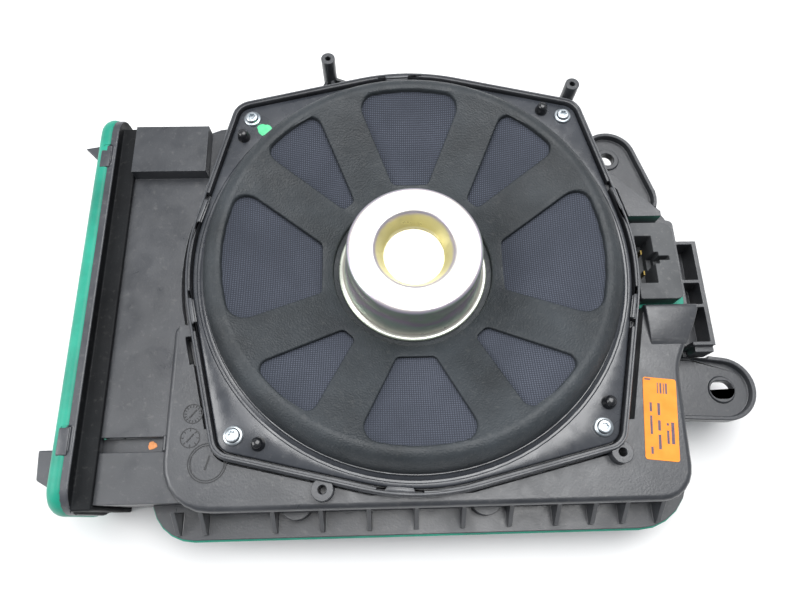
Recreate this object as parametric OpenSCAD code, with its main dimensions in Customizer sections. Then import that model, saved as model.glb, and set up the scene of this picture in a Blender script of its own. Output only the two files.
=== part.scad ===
// Under-seat car subwoofer: a shallow driver with its motor on the outside, in a two-part
// moulded enclosure that breathes through a wide duct on its left side.
// The origin is on the base plane under the driver axis, +Z up, +X towards the connector.

/* [Overall] */
// Height of the driver flange face above the base
flange_h = 58; // [54:1:75]
// Diameter of the basket dish at its base
dish_d = 217; // [190:1:262]
// Wall thickness of the shells
wall = 2.5; // [2:0.1:3]
// Length of the duct from the body to its mouth
duct_len = 37; // [30:1:60]

/* [Driver] */
// Height of the basket shoulder above the flange face
shoulder_h = 17; // [14:0.5:20]
// Thickness of the basket flange
flange_t = 3; // [2.5:0.1:4]
// Width of the basket flange outside the dish
flange_w = 6; // [5:0.5:9]
// Radius of the flange around each corner screw
corner_r = 8; // [6.5:0.5:10]
// Distance of each corner screw outside the dish
screw_out = 16.45; // [14:0.1:19]
// Width of a basket spoke
spoke_w = 23.5; // [14:0.5:28]
// Sheet thickness of the basket
basket_t = 2.5; // [2:0.1:3]
// Radius of the motor pot
pot_r = 34.7; // [28:0.1:42]
// Height of the pot's end face above the flange face
pot_h = 16.4; // [12:0.2:20]
// Radius of the mouth of the pot's recess
recess_r = 21; // [16:0.5:25]
// Depth of the pot's recess
recess_depth = 10; // [5:0.5:10.5]
// Travel of the cone each way
travel = 5; // [3:0.5:5]

/* [Collar and body] */
// Gap between the basket flange and the collar
collar_gap = 0.8; // [0.5:0.1:1.2]
// Height of the collar rim above the flange face
rim_h = 2; // [1:0.5:3]
// Drop of the body's face below the flange face
face_drop = 5; // [4:0.5:7]
// Depth of the moat outside the collar
moat_depth = 8; // [5:0.5:10]
// Width of the moat outside the collar
moat_w = 4.7; // [3:0.1:5]
// Space between the collar and the body's front wall
front_space = 5; // [4:0.5:10]
// Space between the collar and the body's right wall
right_space = 13; // [10:0.5:20]
// Space between the collar and the body's left wall
left_space = 5; // [4:0.5:8]
// Width of the connector bay outside the right wall line
bay_out = 17; // [15:0.5:20]

/* [Seam] */
// Height of the seam above the base
seam_h = 27; // [22:1:32]
// Thickness of the seam seal
seal_t = 1.5; // [1:0.1:2]
// Width of the seam flanges at the front
ledge_w = 12; // [10:0.5:15]
// Width of the seam flanges at the back
back_ledge_w = 6; // [5:0.5:8]
// Distance between the ribs on the front ledge
rib_pitch = 23; // [18:0.5:30]

/* [Duct] */
// Place of the duct's back wall from the driver axis
duct_back = 85; // [75:1:90]
// Drop of the duct's plate below the flange face
duct_drop = 9; // [7:0.5:12]
// Thickness of the mouth frame's lip
lip_t = 7; // [5:0.5:9]
// Height of the green bead on the lip
bead_h = 4.5; // [3:0.5:6]

/* [Fixings] */
// Radius of the hole in the upper ear
ear_hole_r = 4.15; // [3:0.05:4.5]
// Radius of each ear
ear_r = 17; // [13:0.5:18]
// Radius of the bores in the face bosses
boss_bore_r = 2; // [1.5:0.1:2.5]
// Shank radius of the driver screws
screw_r = 2; // [1.5:0.1:2.2]

/* [Hidden] */
$fn = 96;

eps = 0.01;
far = 200;               // past every solid, for through cuts
run_gap = 0.3;           // clearance between faces on different bodies
fit_gap = 0.05;          // clearance of a screw or spigot in its bore

// Driver plan
dish_r = dish_d / 2;
flange_r = dish_r + flange_w;
screw_pcr = dish_r + screw_out;
corner_turn = acos((flange_r - corner_r) / screw_pcr);
collar_w = wall;
collar_out = collar_gap + collar_w;
moat_out = collar_out + moat_w;
moat_wall = 1.3;
slim_moat_w = 1.3;        // along the front, where the moat is a slit
slim_moat_y = -84;
collar_r = flange_r + collar_out;

// Driver levels
gasket_t = 1.5;
seat_z = flange_h - flange_t - gasket_t;
shoulder_r = dish_r - 11.5;
shoulder_z = shoulder_h - 2;
lip_r = pot_r + 5.3;
hub_r = lip_r + 3;
hub_z = -11;
seat_drop = 3.5;
hub_h = 7.5;
dish_slope = (shoulder_z - hub_z) / (shoulder_r - hub_r);
slope_t = basket_t * sqrt(1 + dish_slope * dish_slope);
win_in_r = pot_r + 15.8;
win_out_r = dish_r - 11.9;
spoke_side = 29.5;       // spokes' angle from the X axis
spoke_end = 65.3;
cloth_t = 0.5;

// Motor
spigot_r = pot_r + 1.8;
pot_wall = 6.7;
gap_r = pot_r - pot_wall;
coil_r = gap_r - 2;      // outside of the former
former_t = 0.3;
coil_t = 1.1;
plate_r = coil_r - former_t - 0.7;
recess_floor_r = recess_r - 5.2;
web_t = 4;
magnet_t = 10;
plate_t = 7;
back_z = 8;
pocket_z = pot_h - recess_depth - web_t;
pocket_r = min(recess_floor_r + web_t + 0.7, plate_r - 1);
spider_z = hub_z - seat_drop - hub_h;

// Moving parts
cone_t = 1.3;
cone_out_r = dish_r - 18.5;
cone_out_z = 2.7 - travel;
neck_z = -33 - travel;
neck_r = coil_r + 0.2;
cone_slope = (cone_out_z - neck_z) / (cone_out_r - neck_r);
cone_v = cone_t * sqrt(1 + cone_slope * cone_slope);
cap_r = coil_r + 6;
cap_t = 0.8;
roll_in_r = cone_out_r + 0.5;
roll_out_r = dish_r - 4;
land_out_r = dish_r + 0.3;
open_r = dish_r + 0.7;
rubber_t = 1;
roll_mid = (roll_in_r + roll_out_r) / 2;
roll_half = (roll_out_r - roll_in_r) / 2;
roll_low = -flange_t - rubber_t;
cone_edge_low = cone_out_z - cone_v;
cap_h = 9.7;
cap_low = neck_z + (cap_r - neck_r) * cone_slope - cone_v - 0.05 - cap_h;
cap_ball = (cap_r * cap_r + cap_h * cap_h) / (2 * cap_h);
spider_t = 0.6;
spider_in = coil_r + run_gap;
spider_out = hub_r - 1;

// Body plan
face_z = flange_h - face_drop;
moat_z = face_z - moat_depth;
front_y = -(collar_r + front_space);
right_x = collar_r + right_space;
left_x = -(collar_r + left_space);
bay_x = right_x + bay_out;
bay_front = -25.5;
bay_back = 26.5;
bay_z = face_z - 9;
seal_z = seam_h + seal_t;
ledge_t = 2.5;
duct_top = flange_h - duct_drop;
duct_low = 3.2;
duct_x = left_x - duct_len;
duct_front = front_y + 5;
bump_top = flange_h - 15;
bump_x = left_x - 8;
bump_y = duct_back + 8;
block_front = duct_back - 29;
block_x0 = duct_x + 6.5;
block_z = flange_h - 1;
strip_y = duct_front + 24;
strip_w = 7;
front_ledge_y = front_y - ledge_w;

// Mouth frame
frame_low = 0.6;
frame_top = flange_h - 1;
frame_front = duct_front - 4;
frame_back = duct_back + 10;
frame_x = duct_x - 3;
frame_round = 13;

// Fixings
pad_x = [-60.5, 32.5];
pad_r = 8;
pad_y = front_y + 4;
pad_z = flange_h - 19;
boss_r = 5.2;
boss_h = 6;
post_r = 4;
post_h = 7;
post_bore = 8.9;
boss_at = [[-46, front_y + 9], [collar_r - 22, front_y + 22.5]];
post_at = [[-45.7, collar_r + 6.7], [screw_pcr * cos(45) + 6, screw_pcr * sin(45) + 17]];
peg_r = 2.7;
peg_turn = 5.4;
peg_pcr = dish_r + 11.5;
ear_a = [right_x - 8.3, duct_back - 7.5];
ear_b = [right_x + 34.7, -66];
ear_t = 4;
ear_low = seam_h - 3;
slot_w = 9.5;
slot_l = 12.5;
shell_screw_at = [[pad_x[0], pad_y], [pad_x[1], pad_y], [left_x + 11, front_y + 15],
    [right_x - 11, front_y + 13], [bump_x + 13, bump_y - 13], [right_x - 8, 39]];
column_r = 5;

// Connector
plug_w = 19;
plug_l = 40;
block_x = collar_r + 0.6;
block_w = 22.6;
block_l = 44;
block_y = -0.5;
block_top = flange_h - 3;
socket_w = 9;
socket_l = 27;
socket_depth = 15;
plug_low = bay_z - 12;
contact_y = 6;
contact_x = block_x + 6;
tail_l = 5;
strip_z = seat_z - wall;
lead_y = 6;
lead_r = 0.7;
lead_in_r = dish_r - 46.5;
lead_span = dish_r - 4 - lead_in_r;
lead_sag = 6.5;
lead_bend = (lead_span * lead_span / 4 + lead_sag * lead_sag) / (2 * lead_sag);
lead_turn = 2 * asin(lead_span / 2 / lead_bend);
lead_end_z = flange_h + neck_z + (lead_in_r - neck_r) * cone_slope - cone_v - lead_r - 0.6;
wire_r = 0.8;
wire_drop = 3;

function unit(v) = v / norm(v);
function ring(a, r) = [r * cos(a), r * sin(a)];
function left(d) = [-d[1], d[0]];

// A corner point of a counterclockwise outline, moved in by w
function inset_point(a, b, c, w) =
    let (n1 = left(unit(b - a)), n2 = left(unit(c - b))) b + (n1 + n2) * w / (1 + n1 * n2);
function inset(p, w) = let (n = len(p))
    [for (i = [0:n - 1]) inset_point(p[(i + n - 1) % n], p[i], p[(i + 1) % n], w)];

// The arc that rounds corner b by radius r, in s steps
function fillet(a, b, c, r, s) =
    let (d1 = unit(b - a), d2 = unit(c - b), turn = atan2(d1[0] * d2[1] - d1[1] * d2[0], d1 * d2),
        side = sign(turn), t = r * tan(abs(turn) / 2), m = b - d1 * t + left(d1) * side * r)
    abs(turn) < 1 || r < 0.05 ? [b]
    : [for (k = [0:s]) m - side * r * (left(d1) * cos(turn * k / s) - d1 * sin(turn * k / s))];
function rounded(p, r, s = 6) = let (n = len(p))
    [for (i = [0:n - 1]) each fillet(p[(i + n - 1) % n], p[i], p[(i + 1) % n], r[i], s)];

// Radii that stay concentric when an outline moves in by w: r > 0 outside corners, r < 0 inside ones
function shrink(r, w) = [for (v = r) v > 0 ? max(v - w, 0.3) : -v + w];
function boxed(x0, y0, x1, y1) = [[x0, y0], [x1, y0], [x1, y1], [x0, y1]];

// The flange outline: the round of the dish joined to four corner rounds by tangents, grown by g
function flange_points(g) = [for (q = [0:3]) each concat(
    [for (k = [0:8]) ring(45 + 90 * q, screw_pcr)
        + ring(45 + 90 * q + corner_turn * (k / 4 - 1), corner_r + g)],
    [for (k = [1:7]) ring(45 + 90 * q + corner_turn + (90 - 2 * corner_turn) * k / 8,
        flange_r + g)])];

// The outline of a window between two spokes, at angles a to b
function side_turn(r) = asin(spoke_w / 2 / r);
function window_points(a, b) = let (ao = side_turn(win_out_r), ai = side_turn(win_in_r), n = 5)
    concat([ring(b - ai, win_in_r), ring(a + ai, win_in_r)],
        [for (k = [0:n]) ring(a + ao + (b - a - 2 * ao) * k / n, win_out_r)]);
function window_radii(r) = [3, 3, r, 0, 0, 0, 0, r];
win_spans = [[-spoke_side, spoke_side], [spoke_side, spoke_end], [spoke_end, 180 - spoke_end],
    [180 - spoke_end, 180 - spoke_side], [180 - spoke_side, 180 + spoke_side],
    [180 + spoke_side, 180 + spoke_end], [180 + spoke_end, 360 - spoke_end],
    [360 - spoke_end, 360 - spoke_side]];

function dish_at(r) = hub_z + (r - hub_r) * dish_slope;
function cone_at(r) = neck_z + (r - neck_r) * cone_slope;

body_points = [[left_x, front_y], [right_x, front_y], [right_x + 2.5, -58], [bay_x, -29],
    [bay_x, 27.5], [right_x + 7, 29.5], [collar_r - 10, 60], [left_x + 23, -30], [left_x, -32]];
body_radii = [24, 17, -25, 5, 3, -2, 1, 1, 3];
bump_points = boxed(bump_x, 20, -60, bump_y);
duct_points = boxed(duct_x, duct_front, -90, duct_back);
ledge_points = [[left_x - 10, front_ledge_y], [right_x + 6.5, front_ledge_y],
    [right_x + 7, -60], [bay_x + 3, -32], [bay_x + 3, 36], [collar_r, 66], [-60, 60],
    [-60, bump_y + 4], [bump_x - 4, bump_y + 4], [bump_x - 4, duct_front + 10],
    [left_x - 10, duct_front + 5]];
ledge_radii = [22, 28, -20, 6, 6, 1, 1, 1, 24, 1, 1];

module slab(z0, z1) translate([0, 0, z0]) linear_extrude(z1 - z0) children();
module yz_slab(x0, x1) translate([x0, 0, 0]) rotate([90, 0, 90]) linear_extrude(x1 - x0) children();
module lathe(points) translate([0, 0, flange_h]) rotate_extrude($fn = 180) polygon(points);
module flange_plan(g) polygon(flange_points(g));
module plan(points, radii, w) polygon(rounded(inset(points, w), shrink(radii, w)));
module box(low, high) translate(low) cube(high - low);
module rod(x, y, z0, z1, r) translate([x, y, z0]) cylinder(r = r, h = z1 - z0, $fn = 48);
module four() for (q = [0:3]) rotate(90 * q) children();

// A tube of radius r along a few points, with ball joints
module tube(p, r) for (i = [0:len(p) - 2]) let (v = p[i + 1] - p[i]) {
    translate(p[i]) rotate([0, acos(v[2] / norm(v)), atan2(v[1], v[0])])
        cylinder(r = r, h = norm(v), $fn = 24);
    if (i > 0) translate(p[i]) sphere(r = r, $fn = 24);
}

// The whole body between two levels, all its outlines moved in by w; tops are lowered by t
module body_block(low, w, t, top) {
    slab(low, min(face_z - t, top)) {
        plan(body_points, body_radii, w);
        flange_plan(collar_out - w);
    }
    slab(low, min(bump_top - t, top)) plan(bump_points, [1, 1, 28, 28], w);
    duct_end = w > 0 ? -wall - eps : 0;
    slab(max(low, duct_low + w), min(duct_top - t, top))
        polygon(boxed(duct_x + duct_end, duct_front + w, -90, duct_back - w));
}

module ledge_plan(w) {
    plan(ledge_points, ledge_radii, w);
    flange_plan(collar_out + back_ledge_w - w);
}

module ear_outline(c, d, r) hull() {
    translate(c) circle(r, $fn = 48);
    translate(d) circle(r + 2, $fn = 32);
}

// An ear: a plate with a raised rim, joined to the seam flange
module ear(c, d) {
    slab(ear_low, ear_low + ear_t) ear_outline(c, d, ear_r);
    difference() {
        slab(ear_low, ear_low + ear_t + 4) ear_outline(c, d, ear_r);
        slab(ear_low, far) ear_outline(c, d, ear_r - 2.2);
    }
    translate([c[0], c[1], ear_low]) cylinder(r = ear_hole_r + 3, h = ear_t + 1.2, $fn = 48);
}

module lower_shell() color("#34363a") difference() {
    union() {
        difference() {
            body_block(0, 0, 0, seam_h);
            body_block(wall, wall, 0, far);
        }
        difference() {
            slab(seam_h - 3, seam_h) ledge_plan(0);
            slab(0, far) ledge_plan(ledge_w);
            body_block(wall, wall, 0, far);
        }
        difference() {
            union() {
                ear(ear_a, [right_x - 2, 50]);
                ear(ear_b, [right_x - 6, -62]);
            }
            slab(seam_h, far) {
                ledge_plan(-1.6);
                polygon(boxed(bay_x - 2, -49, bay_x + 12, 16));
            }
            slab(0, far) plan(body_points, body_radii, wall);
            slab(0, far) flange_plan(collar_out - wall);
        }
        for (p = shell_screw_at) rod(p[0], p[1], 0, seam_h, column_r);
    }
    for (p = shell_screw_at) {
        rod(p[0], p[1], -1, far, screw_r + 0.3);
        rod(p[0], p[1], -1, seam_h - 6, column_r - 1.4);
    }
    rod(ear_a[0], ear_a[1], 0, far, ear_hole_r);
    slab(0, far) {
        translate(ear_b) square([slot_l - slot_w, slot_w], center = true);
        for (s = [-1, 1]) translate(ear_b + [s * (slot_l - slot_w) / 2, 0]) circle(slot_w / 2);
    }
}

// The slots beside the spring tabs in the collar
module tab_slots() for (a = [17, 93, 165, 193, 265, 346]) for (s = [-1, 1])
    rotate(a) box([flange_r + collar_gap - 0.2, s * 9 - 2, flange_h - 2],
        [flange_r + collar_out + 3, s * 9 + 2, flange_h + rim_h + 1]);

// The ribs between the front wall and the ledge
module front_ribs() {
    near = [for (k = [0:6]) -71 + rib_pitch * k];
    places = concat([left_x + 5, left_x + 18], near, [right_x - 46, right_x - 30.5, right_x - 13]);
    for (x = places) translate([x - 1.1, 0, 0]) rotate([90, 0, 90]) linear_extrude(2.2)
        polygon([[front_y + 1, seal_z + 1], [front_ledge_y + 2.5, seal_z + 1],
            [front_ledge_y + 2.5, seal_z + ledge_t + 3], [front_y + 1, face_z - 7]]);
}

module post(p) {
    rod(p[0], p[1], face_z - 12, flange_h + post_h, post_r);
    translate([p[0], p[1], 0]) rotate(atan2(-p[1], -p[0])) {
        box([0, -1, seal_z + 1], [15, 1, face_z - 3]);
        for (s = [-1, 1]) rotate(s * 48) box([0, -0.9, seal_z + 1], [13, 0.9, face_z - 4]);
    }
}

// The open-sided cable rail outside the connector bay
module cable_rail() {
    top = bay_z;
    for (y = [-44, -23, -9, 14]) box([bay_x - 1, y - 1, seal_z], [bay_x + 11, y + 1, top]);
    box([bay_x + 8.5, -45, seal_z], [bay_x + 11, 15, top]);
    box([bay_x + 1, -48, seal_z], [bay_x + 11, -43, top - 3]);
    slab(seal_z, seal_z + 2) polygon(boxed(bay_x - 1, -48, bay_x + 11, 15));
}

module upper_shell() color("#45474a") difference() {
    union() {
        body_block(seal_z, 0, 0, far);
        slab(face_z - wall, flange_h + rim_h) flange_plan(collar_out);
        difference() {
            slab(seal_z, seal_z + ledge_t) ledge_plan(0);
            slab(0, far) plan(body_points, body_radii, 1);
        }
        box([block_x0, block_front, duct_top - 1], [left_x + 10, duct_back, block_z]);
        front_ribs();
        cable_rail();
        for (x = pad_x) rod(x, pad_y, seal_z, pad_z, pad_r);
        for (p = boss_at) rod(p[0], p[1], face_z - 1, face_z + boss_h, boss_r);
        for (p = post_at) post(p);
    }
    // the hollow inside, around the moat, the bay and the columns
    difference() {
        union() {
            body_block(seal_z - 1, wall, wall, far);
            slab(seal_z - 1, strip_z) flange_plan(collar_gap);
            box([block_x0 + wall, block_front + wall, duct_top - 10],
                [left_x + 10 - wall, duct_back - wall, block_z - wall]);
        }
        difference() {
            slab(moat_z - wall, far) flange_plan(moat_out + wall);
            slab(0, far) flange_plan(collar_gap);
        }
        box([collar_r - wall, bay_front - wall, bay_z - wall], [bay_x, bay_back + wall, far]);
        box([duct_x - 1, strip_y, duct_top - 5 - wall], [left_x, strip_y + strip_w, far]);
        four() rod(screw_pcr * cos(45), screw_pcr * sin(45), seat_z - 16, far, 4.6);
        for (p = boss_at) rod(p[0], p[1], face_z - 8, far, boss_r);
        for (p = shell_screw_at) rod(p[0], p[1], 0, far, column_r);
    }
    // the moat, kept inside the outer walls
    difference() {
        slab(moat_z, far) intersection() {
            union() {
                flange_plan(collar_out + slim_moat_w);
                intersection() {
                    flange_plan(moat_out);
                    polygon(boxed(-far, slim_moat_y, far, far));
                }
            }
            union() {
                plan(body_points, body_radii, 2 * wall + moat_wall);
                polygon(boxed(duct_x + 10, -30, -90, block_front - 2));
            }
        }
        slab(0, far) flange_plan(collar_out);
        for (p = boss_at) rod(p[0], p[1], 0, far, boss_r);
    }
    // the driver's pocket and opening
    slab(seat_z, far) flange_plan(collar_gap);
    rod(0, 0, 0, far, open_r, $fn = 180);
    // the connector bay and its hole
    difference() {
        box([collar_r - 6, bay_front, bay_z], [bay_x + 1, bay_back, far]);
        slab(0, far) flange_plan(collar_out);
    }
    box([right_x + 7, bay_front, bay_z], [bay_x + 1, bay_back + 4, far]);
    box([block_x + 1.4, block_y - plug_l / 2 - 0.4, 0],
        [block_x + 2.2 + plug_w, block_y + plug_l / 2 + 0.4, far]);
    // the recessed strip on the duct
    box([duct_x + 4, strip_y, duct_top - 5], [left_x + 1, strip_y + strip_w, face_z - 0.5]);
    tab_slots();
    for (p = boss_at) rod(p[0], p[1], face_z - 4, far, boss_bore_r);
    for (p = post_at) rod(p[0], p[1], flange_h + post_h - post_bore, far, 1.5);
    for (p = shell_screw_at) rod(p[0], p[1], seal_z - 1, seal_z + 9, screw_r + fit_gap);
    four() rod(screw_pcr * cos(45), screw_pcr * sin(45), seat_z - 13, far, screw_r + fit_gap);
}

// The pegs moulded with the upper shell that centre the basket
module locating_pegs() color("#232427") four() {
    rotate(45 + peg_turn) rod(peg_pcr, 0, seat_z - eps, flange_h + 4, peg_r);
}

module upper_shell_with_pegs() {
    upper_shell();
    locating_pegs();
}

module seam_seal() color("#1fa88a") difference() {
    slab(seam_h, seal_z) ledge_plan(-1);
    slab(0, far) {
        plan(body_points, body_radii, -0.5);
        flange_plan(collar_out + 0.5);
        plan(bump_points, [1, 1, 28, 28], -0.5);
        polygon(boxed(duct_x, duct_front - 0.5, -90, duct_back + 0.5));
    }
    for (x = pad_x) rod(x, pad_y, 0, far, pad_r + 0.3);
    for (p = shell_screw_at) rod(p[0], p[1], 0, far, column_r + 0.3);
}

// The outline of the duct's mouth frame, across the duct
module frame_plan(w) polygon(rounded(boxed(frame_front + w, frame_low + w, frame_back - w, frame_top - w),
    [for (k = [1:4]) frame_round - w]));

module port_frame() color("#3c3e42") difference() {
    union() {
        yz_slab(frame_x - lip_t, frame_x) frame_plan(0);
        yz_slab(frame_x - eps, duct_x + 6)
            polygon(boxed(duct_front - 2.4, duct_low - 2.4, duct_back + 2.4, duct_top + 2.4));
        for (y = [frame_front + 34, frame_back - 28])
            box([frame_x - lip_t, y - 6, frame_top - 6], [frame_x - 2, y + 6, frame_top + 0.5]);
        // guide fins that lead the mouth into the car body
        slab(frame_top - 13, frame_top - 9) polygon([[frame_x - lip_t + 1, frame_back - 34],
            [frame_x - lip_t + 1, frame_back - 15], [frame_x - lip_t - 15, frame_back - 18]]);
        slab(frame_top - 13, frame_top - 9) polygon([[frame_x - lip_t + 1, frame_front + 8],
            [frame_x - lip_t + 1, frame_front + 30], [frame_x - lip_t - 14, frame_front + 30],
            [frame_x - lip_t - 13, frame_front + 16]]);
    }
    // bore of the mouth, then the socket that takes the duct's end
    yz_slab(frame_x - lip_t - 20, duct_x + 10)
        polygon(rounded(boxed(duct_front + wall, duct_low + wall, duct_back - wall, duct_top - wall),
            [4, 4, 4, 4]));
    yz_slab(duct_x - 0.2, duct_x + 10)
        polygon(boxed(duct_front - 0.1, duct_low - 0.1, duct_back + 0.1, duct_top + 0.1));
}

module port_seal() color("#2bb896") difference() {
    yz_slab(frame_x - lip_t - bead_h, frame_x - lip_t) difference() {
        frame_plan(0.4);
        frame_plan(7);
    }
    box([duct_x - 40, frame_front, frame_top - 13.3], [duct_x, frame_front + 31, frame_top - 8.7]);
    box([duct_x - 40, frame_back - 35, frame_top - 13.3], [duct_x, frame_back - 14, frame_top - 8.7]);
}

module basket() color("#3a3c3e") difference() {
    union() {
        lathe([[spigot_r + fit_gap, hub_z - seat_drop], [hub_r, hub_z - seat_drop], [hub_r, hub_z],
            [shoulder_r, shoulder_z], [shoulder_r + 2.5, shoulder_h - 0.6], [shoulder_r + 5, shoulder_h],
            [dish_r - 3.5, shoulder_h - 0.6], [dish_r - 1.1, shoulder_h - 2.8], [dish_r, shoulder_h - 6],
            [dish_r, -flange_t], [dish_r - basket_t, -flange_t], [dish_r - basket_t, shoulder_h - 6.5],
            [dish_r - basket_t - 1, shoulder_h - 4.4], [dish_r - basket_t - 2.5, shoulder_h - 3.2],
            [shoulder_r + 4.8, shoulder_h - basket_t - 0.3], [shoulder_r + 2.6, shoulder_h - basket_t - 0.9],
            [shoulder_r + 0.4, dish_at(shoulder_r + 0.4) - slope_t],
            [hub_r + 2.2, dish_at(hub_r + 2.2) - slope_t], [hub_r - 0.5, hub_z - 6],
            [hub_r - 0.5, spider_z], [spigot_r + fit_gap, spider_z]]);
        difference() {
            slab(flange_h - flange_t, flange_h) flange_plan(0);
            rod(0, 0, 0, far, dish_r - eps, $fn = 180);
        }
    }
    for (s = win_spans) slab(flange_h + spider_z + 2, far)
        polygon(rounded(window_points(s[0], s[1]), window_radii(s[1] - s[0] > 40 ? 8 : 5)));
    four() {
        rotate(45) rod(screw_pcr, 0, 0, far, screw_r + 0.25);
        rotate(45 + peg_turn) rod(peg_pcr, 0, 0, far, peg_r + 0.3);
    }
}

module window_cloth() color("#474b55") lathe([
    [win_in_r - 4, dish_at(win_in_r - 4) - slope_t - 0.02],
    [win_out_r + 1.5, dish_at(win_out_r + 1.5) - slope_t - 0.02],
    [win_out_r + 1.5, dish_at(win_out_r + 1.5) - slope_t - cloth_t],
    [win_in_r - 4, dish_at(win_in_r - 4) - slope_t - cloth_t]]);

module driver_gasket() color("#1d1e20") difference() {
    slab(seat_z, seat_z + gasket_t) flange_plan(-0.7);
    rod(0, 0, 0, far, dish_r + 1, $fn = 180);
    four() {
        rotate(45) rod(screw_pcr, 0, 0, far, screw_r + 0.5);
        rotate(45 + peg_turn) rod(peg_pcr, 0, 0, far, peg_r + 0.5);
    }
}

// The half-roll surround: inner landing under the cone's edge, outer landing under the basket
module surround() color("#26272a") lathe(concat(
    [[cone_out_r - 5.5, cone_at(cone_out_r - 5.5) - cone_v - run_gap],
        [roll_in_r, cone_edge_low - run_gap + 0.2]],
    [for (k = [1:11]) [roll_mid - (roll_half - rubber_t) * cos(15 * k),
        roll_low - 0.5 - (roll_half - rubber_t) * sin(15 * k)]],
    [[roll_out_r - rubber_t, -flange_t], [land_out_r, -flange_t], [land_out_r, roll_low],
        [roll_out_r, roll_low]],
    [for (k = [11:-1:1]) [roll_mid - roll_half * cos(15 * k), roll_low - 0.8 - roll_half * sin(15 * k)]],
    [[roll_in_r - 0.5, cone_edge_low - run_gap - rubber_t],
        [cone_out_r - 5.5, cone_at(cone_out_r - 5.5) - cone_v - run_gap - rubber_t]]));

module cone() color("#2c2c2e") lathe([[neck_r - 0.2 + eps, neck_z], [cone_out_r, cone_out_z],
    [cone_out_r, cone_edge_low], [neck_r - 0.2 + eps, neck_z - cone_v]]);

function cap_at(r) = cap_low + cap_ball - sqrt(cap_ball * cap_ball - r * r);
module dust_cap() color("#252527") lathe(concat(
    [for (k = [0:8]) [cap_r * k / 8, cap_at(cap_r * k / 8)]],
    [for (k = [8:-1:0]) [cap_r * k / 8, cap_at(cap_r * k / 8) - cap_t]]));

module coil_former() color("#b08850")
    lathe([[coil_r - former_t, neck_z - 1.2], [coil_r, neck_z - 1.2], [coil_r, -2], [coil_r - former_t, -2]]);

module voice_coil() color("#b5622d")
    lathe([[coil_r, -18], [coil_r + coil_t, -18], [coil_r + coil_t, -4], [coil_r, -4]]);

// The corrugated centring disc, glued under the hub and round the former
function wave(r) = spider_z - 0.9 + 0.6 * cos((r - spider_in) / (spigot_r - spider_in) * 1080);
module spider() color("#c8a050") lathe(concat(
    [for (k = [0:24]) let (r = spider_in + (spigot_r - spider_in) * k / 24) [r, wave(r)]],
    [[spigot_r + 0.5, spider_z], [spider_out, spider_z], [spider_out, spider_z - spider_t]],
    [for (k = [24:-1:0]) let (r = spider_in + (spigot_r - spider_in) * k / 24) [r, wave(r) - spider_t]]));

module magnet_pot() color("#c9bf8e") lathe([[gap_r, hub_z - 5.5], [spigot_r, hub_z - 5.5],
    [spigot_r, hub_z - seat_drop], [lip_r, hub_z - seat_drop], [lip_r, hub_z - 1.5],
    [pot_r + 2.6, hub_z - 1.5], [pot_r + 0.2, pot_h - 10], [pot_r, pot_h - 3], [pot_r - 0.9, pot_h - 0.9],
    [pot_r - 3, pot_h], [recess_r, pot_h], [recess_r - 1.5, pot_h - recess_depth * 0.25],
    [recess_floor_r, pot_h - recess_depth * 0.9], [recess_floor_r, pot_h - recess_depth],
    [0, pot_h - recess_depth], [0, pocket_z], [pocket_r, pocket_z], [pocket_r, back_z],
    [gap_r, back_z]]);

module magnet() color("#8d9094")
    rod(0, 0, flange_h + pocket_z - magnet_t, flange_h + pocket_z, plate_r - 1);

module pole_plate() color("#a9adb0")
    rod(0, 0, flange_h + pocket_z - magnet_t - plate_t, flange_h + pocket_z - magnet_t, plate_r);

// A six-lobed socket
module lobe_socket(r, h) {
    cylinder(r = r * 0.72, h = h, $fn = 24);
    for (k = [0:5]) rotate(60 * k) translate([r * 0.72, 0, 0]) cylinder(r = r * 0.28, h = h, $fn = 16);
}

module washer_screw(length, head_r) difference() {
    union() {
        cylinder(r = head_r, h = 1.2, $fn = 48);
        cylinder(r = head_r * 0.72, h = 3, $fn = 48);
        translate([0, 0, -length]) cylinder(r = screw_r, h = length + eps, $fn = 48);
    }
    translate([0, 0, 1]) lobe_socket(2, 5);
}

module driver_screws() color("#cfd3d6") four() rotate(45) translate([screw_pcr, 0, flange_h])
    washer_screw(flange_h - seat_z + 12, 4.75);

module shell_screws() color("#cfd3d6") for (p = shell_screw_at)
    translate([p[0], p[1], seam_h - 6]) rotate([180, 0, 0]) difference() {
        union() {
            cylinder(r = column_r - 1.6, h = 2.6, $fn = 48);
            translate([0, 0, -13]) cylinder(r = screw_r, h = 13 + eps, $fn = 48);
        }
        translate([0, 0, 1]) lobe_socket(2, 5);
    }

module connector_block() color("#4a4c4e") difference() {
    union() {
        slab(bay_z + 2, block_top) polygon(rounded(boxed(block_x, block_y - block_l / 2,
            block_x + block_w, block_y + block_l / 2), [1, 3, 5, 1]));
        box([block_x + 1.8, block_y - plug_l / 2, plug_low],
            [block_x + 1.8 + plug_w, block_y + plug_l / 2, bay_z + 2 + eps]);
    }
    box([contact_x - socket_w / 2, -socket_l / 2, block_top - socket_depth],
        [contact_x + socket_w / 2, socket_l / 2, far]);
    // keyways
    box([contact_x, -2.5, block_top - 11], [contact_x + socket_w / 2 + 2.5, 4, far]);
    box([contact_x, -0.5, block_top - 8], [contact_x + socket_w / 2 + 8, 1.8, far]);
    for (s = [-1, 1]) box([contact_x - 0.45, s * contact_y - 1.25, 0],
        [contact_x + 0.45, s * contact_y + 1.25, far]);
}

module connector_seal() color("#1fb79b") difference() {
    slab(bay_z, bay_z + 2) polygon(rounded(boxed(block_x - 0.5, block_y - block_l / 2 - 2.4,
        block_x + block_w + 4, block_y + block_l / 2 + 2.4), [2, 4, 4, 2]));
    box([block_x + 1.3, block_y - plug_l / 2 - 0.5, 0],
        [block_x + 2.3 + plug_w, block_y + plug_l / 2 + 0.5, far]);
}

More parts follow.
